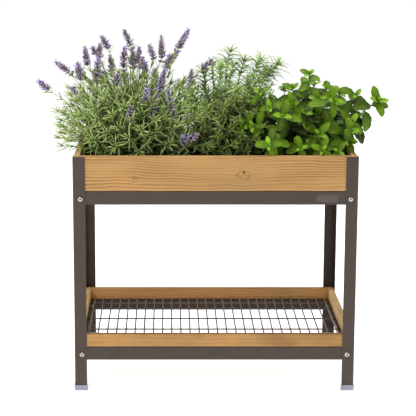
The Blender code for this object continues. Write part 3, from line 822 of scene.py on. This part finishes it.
def make_lavender():
    """A round bush of long grey-green leaves, a lower clump towards the rosemary, and the flower spikes."""
    rng = random.Random(11)
    bush_stems, clump_stems = 140, 58
    foliage, needles = Growth(), Leaves()
    for tip in dome_tips(bush_stems, (-0.265, 0.0, SOIL_TOP + 0.005), (0.195, 0.225, 0.22), rng):
        outward = Vector((tip.x - LAVENDER_ROOT.x, tip.y, 0)) * 0.22
        path = bowed(LAVENDER_ROOT + outward, tip, 0.62, 9, rng, 0.008)
        leafy_stem(foliage, needles, path, rng, LAVENDER_BUSH)
    for tip in dome_tips(clump_stems, (-0.105, 0.0, SOIL_TOP), (0.125, 0.215, 0.22), rng):
        start = LAVENDER_ROOT + Vector((0.05, tip.y * 0.35, 0))
        path = bowed(start, tip, 0.55, 9, rng, 0.008)
        leafy_stem(foliage, needles, path, rng, LAVENDER_CLUMP)
    flowers, buds, petals = Growth(), Leaves(), Leaves()
    for x, z, y, lean, length in SPIKES:
        lean = math.radians(lean)
        direction = Vector((math.sin(lean), y * 0.6, math.cos(lean))).normalized()
        base = Vector((x, y, z)) - direction * length
        start = LAVENDER_ROOT + Vector(((x - LAVENDER_ROOT.x) * 0.2, y * 0.2, 0))
        if base.z < SOIL_TOP + 0.08:
            start = Vector((base.x - 0.02, base.y + 0.08, SOIL_TOP - 0.005))
        stem = bowed(start, base, 0.6, 8, rng)
        stem += [base + direction * length * 0.1]
        leafy_stem(foliage, needles, stem, rng, FLOWER_STEM)
        flower_spike(flowers, buds, petals, base, direction, length, rng)
    needles.spindles(foliage, NEEDLE, 4, 0.3, 1)
    buds.spindles(flowers, CALYX, 4, 1.0, 1)
    petals.spindles(flowers, PETAL, 4, 0.35, 2)
    stem = plant_skin("lavender_stem", "8f9c62", "a9bf7e", "7c7a4c")
    leaf = plant_skin("lavender_leaf", "86a048", "b9cb84", "222e08", gloss=0.6)
    calyx = plant_skin("lavender_calyx", "958565", "b3a2c8", "6a5656", gloss=0.7, hollow_shade=0.6)
    # The spike's core is dark brown: the dark bracts, and painted shade between the calyces.
    core = plant_skin("lavender_core_and_shade", "3d3326", "4a3f40", "33291f", gloss=0.7)
    petal = plant_skin("lavender_petal", "ac97e2", "cabbf5", "957ad0", gloss=0.6, hollow_shade=0.7)
    foliage.build("lavender_foliage", "planting", "lavender", [stem, leaf], ("lavender",))
    flowers.build("lavender_flowers", "planting", "lavender", [stem, calyx, petal, core])


def make_rosemary():
    """Tall arching shoots with pale crowns, shorter ones between them, a dense foot and bare front stems."""
    rng = random.Random(23)
    middle_stems, foot_stems, front_stems = 38, 84, 9
    foliage, needles, fresh = Growth(), Leaves(), Leaves()
    for place in ROSEMARY_TALL:
        tip = Vector(place)
        start = ROSEMARY_ROOT + Vector((tip.x * 0.3, tip.y * 0.5, 0))
        path = bowed(start, tip, 0.66, 11, rng, 0.005)
        leafy_stem(foliage, fresh, path, rng, ROSEMARY_SHOOT, kind=3)
        leafy_stem(foliage, fresh, path[-3:], rng, ROSEMARY_CROWN, kind=3)
    for _ in range(middle_stems):
        tip = Vector((rng.uniform(-0.09, 0.18), rng.uniform(-0.14, 0.2), rng.uniform(0.725, 0.795)))
        if tip.x > 0.1:
            tip.y = abs(tip.y) + 0.03
        start = ROSEMARY_ROOT + Vector((tip.x * 0.4, tip.y * 0.5, 0))
        path = bowed(start, tip, 0.62, 10, rng, 0.007)
        leafy_stem(foliage, needles, path, rng, ROSEMARY_MIDDLE)
    for tip in dome_tips(foot_stems, (0.06, 0.02, SOIL_TOP), (0.13, 0.22, 0.19), rng):
        start = ROSEMARY_ROOT + Vector((tip.x * 0.25, tip.y * 0.3, 0))
        leafy_stem(foliage, needles, bowed(start, tip, 0.55, 10, rng, 0.01), rng, ROSEMARY_FOOT)
    for i in range(front_stems):
        turn = i * 0.7 + 3.3
        reach = Vector((math.cos(turn) * 0.13, -abs(math.sin(turn)) * 0.16 - 0.02, 0.09 + 0.012 * (i % 4)))
        path = bowed(ROSEMARY_ROOT + reach * 0.1, ROSEMARY_ROOT + reach, 0.2, 10, rng, 0.014)
        leafy_stem(foliage, needles, path, rng, ROSEMARY_FRONT)
    needles.spindles(foliage, NEEDLE, 4, 0.35, 1)
    fresh.spindles(foliage, NEEDLE, 4, 0.35, 2)
    foliage.build("rosemary_plant", "planting", "rosemary", [
        plant_skin("rosemary_stem", "a8a47e", "b9c68e", "958c68"),
        plant_skin("rosemary_leaf", "728a36", "a0b466", "26310e"),
        plant_skin("rosemary_fresh_leaf", "86a84c", "b4d082", "6c8a40", hollow_shade=0.55),
        plant_skin("rosemary_shoot", "a9c27c", "bdd68e", "97ad6e", hollow_shade=0.85),
    ], ("rosemary",))


def mint_outline(share):
    """Half width of a mint leaf along its length: a short stalk, then an egg shape with a pointed tip."""
    if share < 0.06:
        return 0.06
    t = (share - 0.06) / 0.94
    return max(0.03, 1.66 * t**0.5 * (1 - t) ** 0.6 * (1 - 0.12 * t))


def mint_shoot(stems, leaves, young, path, rng, size, facing):
    """A square reddish stem with leaf pairs, each crosswise to the last, which grow smaller towards its tip.

    facing is how far its leaves turn to the light at the front.
    """
    steps = len(path)
    step = 0.001
    radii = [0.0017 * (1 - 0.4 * i / (steps - 1)) for i in range(steps)]
    add_tube(stems, path, radii, rng.uniform(0.0, 1.0), 4, 0)
    height = sum((b - a).length for a, b in zip(path, path[1:]))
    places = along_path(path, step, 0.0)
    turn = rng.uniform(0, 6.28)
    tone = rng.uniform(-0.2, 0.2)
    to_light = Vector((0, -0.75, 0.65))
    # How far below the tip each pair is, its share of the full size, and its angle to the stem
    pairs = [(0.0, 0.26, 24), (0.003, 0.5, 50), (0.008, 0.86, 74), (0.028, 1.0, 88), (0.055, 1.06, 98)]
    pairs += [(0.082 + 0.025 * i, 1.0, 104) for i in range(9)]
    for below, share, spread in pairs:
        if below > height * 0.8:
            break
        place, direction, _ = places[max(0, len(places) - 1 - round(below / step))]
        direction = (direction + to_light * (facing if below < 0.03 else facing * 0.4)).normalized()
        turn += math.pi / 2 + rng.uniform(-0.2, 0.2)
        for k in (0, 1):
            _, way, normal = leaf_from(direction, turn + k * math.pi, spread + rng.uniform(-10, 10))
            normal += to_light * rng.uniform(0.3, 1.3)
            length = size * (1.16 - 0.12 * facing) * share * rng.uniform(0.88, 1.1)
            width = length * rng.uniform(0.62, 0.74)
            # Pairs further below the tip get a lower shade mark: partly age, partly painted shade under the
            # pairs above.
            shade = min(1.0, max(0.0, rng.uniform(0.25, 0.8) + tone - below * 4.5))
            if share < 0.6:
                young.put(place, way, normal, length, width, 0.4, rng.uniform(0.5, 1.0), 0.35)
                continue
            curl, cup = rng.uniform(0.2, 0.9), rng.uniform(0.05, 0.3)
            leaves.put(place, way, normal, length, width, curl, shade, cup)


def make_mint():
    """Shoots that open towards the front or top, over darker leaves low down."""
    rng = random.Random(37)
    low_leaves = 125
    plant, leaves, young = Growth(), Leaves(), Leaves()
    for x, y, z, size in MINT_SHOOTS:
        tip = Vector((x, y, z))
        start = MINT_ROOT + Vector(((tip.x - MINT_ROOT.x) * 0.45, tip.y * 0.45, 0))
        if -0.1 <= y < 0.1:
            start.y += 0.08
        path = bowed(start, tip, 0.62, 9, rng, 0.004)
        if y < -0.1:
            path = bowed(start, tip, 1.15, 9, rng, 0.004)
        mint_shoot(plant, leaves, young, path, rng, size, 1.1 if y < -0.1 or x > 0.45 else 0.35)
    for _ in range(low_leaves):
        foot = Vector((rng.uniform(0.08, 0.38), rng.uniform(-0.19, 0.22), SOIL_TOP + rng.uniform(0.0, 0.11)))
        turn = rng.uniform(0, 6.28)
        way = Vector((math.cos(turn), math.sin(turn), rng.uniform(-0.3, 0.5))).normalized()
        length = rng.uniform(0.04, 0.052)
        up = Vector((0, 0, 1))
        # The low leaves get a low shade mark: partly age, partly painted shade low in the plant.
        leaves.put(foot, way, up, length, length * 0.57, rng.uniform(0.2, 0.9), rng.uniform(0.0, 0.3), 0.15)
    leaves.blades(plant, mint_outline, 15, 1)
    young.blades(plant, mint_outline, 9, 2)
    plant.build("mint_plant", "planting", "mint", [
        plant_skin("mint_stem", "7a5140", "8a8248", "6b3f35", gloss=0.45),
        plant_skin("mint_leaf", "4a6c04", "668808", "152800", veins=0.34, gloss=0.46),
        plant_skin("mint_young_leaf", "6a981a", "86ae2a", "528010", veins=0.25, gloss=0.46),
    ], ("mint",))


# ---- other pieces


def make_compost():
    """The soil block with a crumbly top."""
    low, high = SOIL_LOW, SOIL_HIGH
    columns, rows = 150, 98
    shape = bmesh.new()
    bmesh.ops.create_grid(shape, x_segments=columns, y_segments=rows, size=0.5)
    for vertex in shape.verts:
        vertex.co.x = (low.x + high.x) / 2 + vertex.co.x * (high.x - low.x)
        vertex.co.y = (low.y + high.y) / 2 + vertex.co.y * (high.y - low.y)
        lump = noise.noise(vertex.co * 22) * 0.004 + noise.noise(vertex.co * 95) * 0.0028
        crumb = noise.noise(vertex.co * 310) * 0.0016
        vertex.co.z = high.z - 0.003 + lump + crumb
    edges = [edge for edge in shape.edges if edge.is_boundary]
    made = bmesh.ops.extrude_edge_only(shape, edges=edges)["geom"]
    for item in made:
        if isinstance(item, bmesh.types.BMVert):
            item.co.z = low.z
    bmesh.ops.contextual_create(shape, geom=[edge for edge in shape.edges if edge.is_boundary])
    bmesh.ops.recalc_face_normals(shape, faces=shape.faces)
    mesh = finished_mesh("compost", shape, 60)
    new_piece("compost", mesh, "planting", [compost()], ("soil",))


def add_wire(growth, start, end):
    """A round wire with eased ends."""
    start, end = Vector(start), Vector(end)
    ease = 0.0005
    inset = (end - start).normalized() * ease
    radii = (WIRE_RADIUS - ease, WIRE_RADIUS, WIRE_RADIUS, WIRE_RADIUS - ease)
    add_tube(growth, [start, start + inset, end - inset, end], radii, 0.5, 12, 0)


def make_wire_mesh():
    """Round cross wires on long wires, with a bead of weld at each crossing, placed as in the CAD's shelf."""
    low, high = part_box("mesh_shelf")
    top, bottom = high.z - WIRE_RADIUS, low.z + WIRE_RADIUS
    growth = Growth()
    steps = int((2 * high.x - 2 * CROSS_MARGIN) / CROSS_PITCH)
    crossings = [(i - steps / 2) * CROSS_PITCH for i in range(steps + 1)]
    for x in crossings:
        add_wire(growth, (x, -high.y, top), (x, high.y, top))
    rows = int((2 * high.y - LONG_FIRST - LONG_LAST) / LONG_PITCH)
    places = [LONG_FIRST - high.y + i * LONG_PITCH for i in range(rows + 1)]
    places.append(high.y - LONG_LAST)
    half_bead = Vector((0, 0, 0.001))
    for y in places:
        add_wire(growth, (-high.x, y, bottom), (high.x, y, bottom))
        for x in crossings:
            bead = Vector((x, y, (top + bottom) / 2))
            add_tube(growth, [bead - half_bead, bead, bead + half_bead], (0.0012, 0.0019, 0.0012), 0.5, 8, 0)
    growth.build("wire_mesh", "shelf", "wire", [coated_wire()], ("mesh_shelf",))


def bolt_mesh():
    """A button head bolt along +Z with a hexagon socket, and with its head's underside at the origin."""
    radius, height = BOLT_HEAD_RADIUS, BOLT_HEAD_HEIGHT
    crown, rim = 0.0035, 0.0006
    shank, shank_end = 0.004, -0.016
    socket, socket_depth = 0.0025, 0.0026
    rounds = 36
    turns = [2 * math.pi * k / rounds for k in range(rounds)]
    hexagon = [socket / math.cos(turn % (math.pi / 3) - math.pi / 6) for turn in turns]
    profile = [(0.003, height)]
    for step in range(9):
        turn = step * math.pi / 16
        profile.append((crown + (radius - crown) * math.sin(turn), rim + (height - rim) * math.cos(turn)))
    profile += [(radius, 0.0002), (radius - 0.0003, 0.0)]
    profile += [(shank, 0.0), (shank, shank_end + 0.001), (shank - 0.0008, shank_end)]
    outlines = [(hexagon, height - socket_depth), (hexagon, height - 0.0002)]
    outlines += [([distance] * rounds, z) for distance, z in profile]
    shape = bmesh.new()
    rings = []
    for distances, z in outlines:
        places = [(out * math.cos(turn), out * math.sin(turn), z) for out, turn in zip(distances, turns)]
        rings.append([shape.verts.new(place) for place in places])
    for inner, outer in zip(rings, rings[1:]):
        for k in range(rounds):
            after = (k + 1) % rounds
            shape.faces.new((inner[k], inner[after], outer[after], outer[k]))
    shape.faces.new(rings[0])
    shape.faces.new(rings[-1])
    # Faces inside the socket take the second material, the socket's painted shade.
    for face in shape.faces:
        in_head = face.calc_center_median().z > height - 0.003
        widest = max(vertex.co.xy.length for vertex in face.verts)
        face.material_index = int(in_head and widest < 0.0029)
    bmesh.ops.recalc_face_normals(shape, faces=shape.faces)
    return finished_mesh("bolt", shape, 35)


def make_bolts():
    """A detailed bolt in the place of each CAD bolt, plated, with its socket dark with painted shade."""
    # The second zinc is the bolts' zinc made almost black: painted shade in the socket.
    materials = [zinc("zinc_bolt", 0.92), zinc("zinc_socket_painted_shade", 0.06)]
    for name in sorted(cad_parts):
        if "_bolt_" not in name:
            continue
        low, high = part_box(name)
        outward = -1 if "front" in name else 1
        y = low.y + BOLT_HEAD_HEIGHT if outward < 0 else high.y - BOLT_HEAD_HEIGHT
        mesh = bolt_mesh()
        mesh.transform(Matrix.Rotation(-outward * math.pi / 2, 4, "X"))
        mesh.transform(Matrix.Translation(((low.x + high.x) / 2, y, (low.z + high.z) / 2)))
        new_piece(name + "_detailed", mesh, "frame", materials, (name,))


def make_badge():
    """A plain plate with rounded corners, a raised border and two small rivets."""
    low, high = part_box("badge")
    shape = bmesh.new()
    bmesh.ops.create_cube(shape, size=1.0)
    for vertex in shape.verts:
        for axis in range(3):
            vertex.co[axis] = low[axis] if vertex.co[axis] < 0 else high[axis]
    upright = [e for e in shape.edges if abs((e.verts[0].co - e.verts[1].co).y) > 1e-5]
    bmesh.ops.bevel(shape, geom=upright, offset=0.0025, segments=5, affect="EDGES")
    face = min(shape.faces, key=lambda f: f.calc_center_median().y - f.calc_area())
    for thickness in (0.0009, 0.0003):
        bmesh.ops.inset_individual(shape, faces=[face], thickness=thickness)
    for vertex in face.verts:
        vertex.co.y += 0.0003
    bmesh.ops.recalc_face_normals(shape, faces=shape.faces)
    for side in (-1, 1):
        x = (low.x + high.x) / 2 + side * ((high.x - low.x) / 2 - 0.004)
        place = Matrix.Translation((x, low.y + 0.0003, (low.z + high.z) / 2))
        place = place @ Matrix.Diagonal((1, 0.45, 1, 1))
        bmesh.ops.create_uvsphere(shape, u_segments=16, v_segments=8, radius=0.0012, matrix=place)
    mesh = finished_mesh("badge_plate", shape, 30)
    new_piece("badge_plate", mesh, "frame", [badge_plate()], ("badge",))


# ---- stage


def area_light(name, place, aim, size, power):
    """A square light, size metres across, aimed at a point."""
    data = bpy.data.lights.new(name, "AREA")
    data.size = size
    data.energy = power
    light = bpy.data.objects.new(name, data)
    bpy.context.scene.collection.objects.link(light)
    light.location = place
    light.rotation_euler = (Vector(aim) - Vector(place)).to_track_quat("-Z", "Y").to_euler()


def make_stage():
    """A white floor, a bright horizon under a dim sky, and three lights."""
    bpy.ops.mesh.primitive_plane_add(size=80.0, location=(0, 0, 0))
    floor = bpy.context.object
    floor.name = "floor"
    s = Shading("floor_white", Roughness=0.7, Specular_IOR_Level=0.1, Emission_Strength=0.8)
    s.shader.inputs["Emission Color"].default_value = (1, 1, 1, 1)
    tone = s.ramp(s.cloud(0.8, 2), (0.0, 0.93), (1.0, 0.96))
    floor.data.materials.append(s.finish(tone))
    world = bpy.data.worlds.new("studio")
    bpy.context.scene.world = world
    world.use_nodes = True
    sky = Nodes(world.node_tree)
    height = sky.split(sky.node("TexCoord").outputs["Generated"])[2]
    tone = sky.ramp(height, (0.2, 1.0), (0.34, 0.14))
    sky.tree.links.new(tone, sky.tree.nodes["Background"].inputs["Color"])
    area_light("key", (-2.2, -3.6, 3.0), (0, 0, 0.5), 1.3, 70)
    area_light("fill", (3.0, -3.2, 2.0), (0, 0, 0.5), 2.0, 2)
    area_light("top", (0.2, 0.8, 4.0), (0, 0, 0.4), 3.0, 130)


def make_camera():
    bpy.context.scene.view_settings.view_transform = "Standard"
    data = bpy.data.cameras.new("camera")
    data.lens = CAMERA_LENS
    data.sensor_width = SENSOR
    data.shift_x = CAMERA_SHIFT_X
    data.clip_end = 200
    camera = bpy.data.objects.new("camera", data)
    bpy.context.scene.collection.objects.link(camera)
    camera.location = CAMERA_PLACE
    camera.rotation_euler = (math.radians(90 - CAMERA_DOWN), 0, 0)
    bpy.context.scene.camera = camera


make_camera()
make_stage()
make_cad_materials()
make_wire_mesh()
make_bolts()
make_badge()
make_compost()
make_lavender()
make_rosemary()
make_mint()
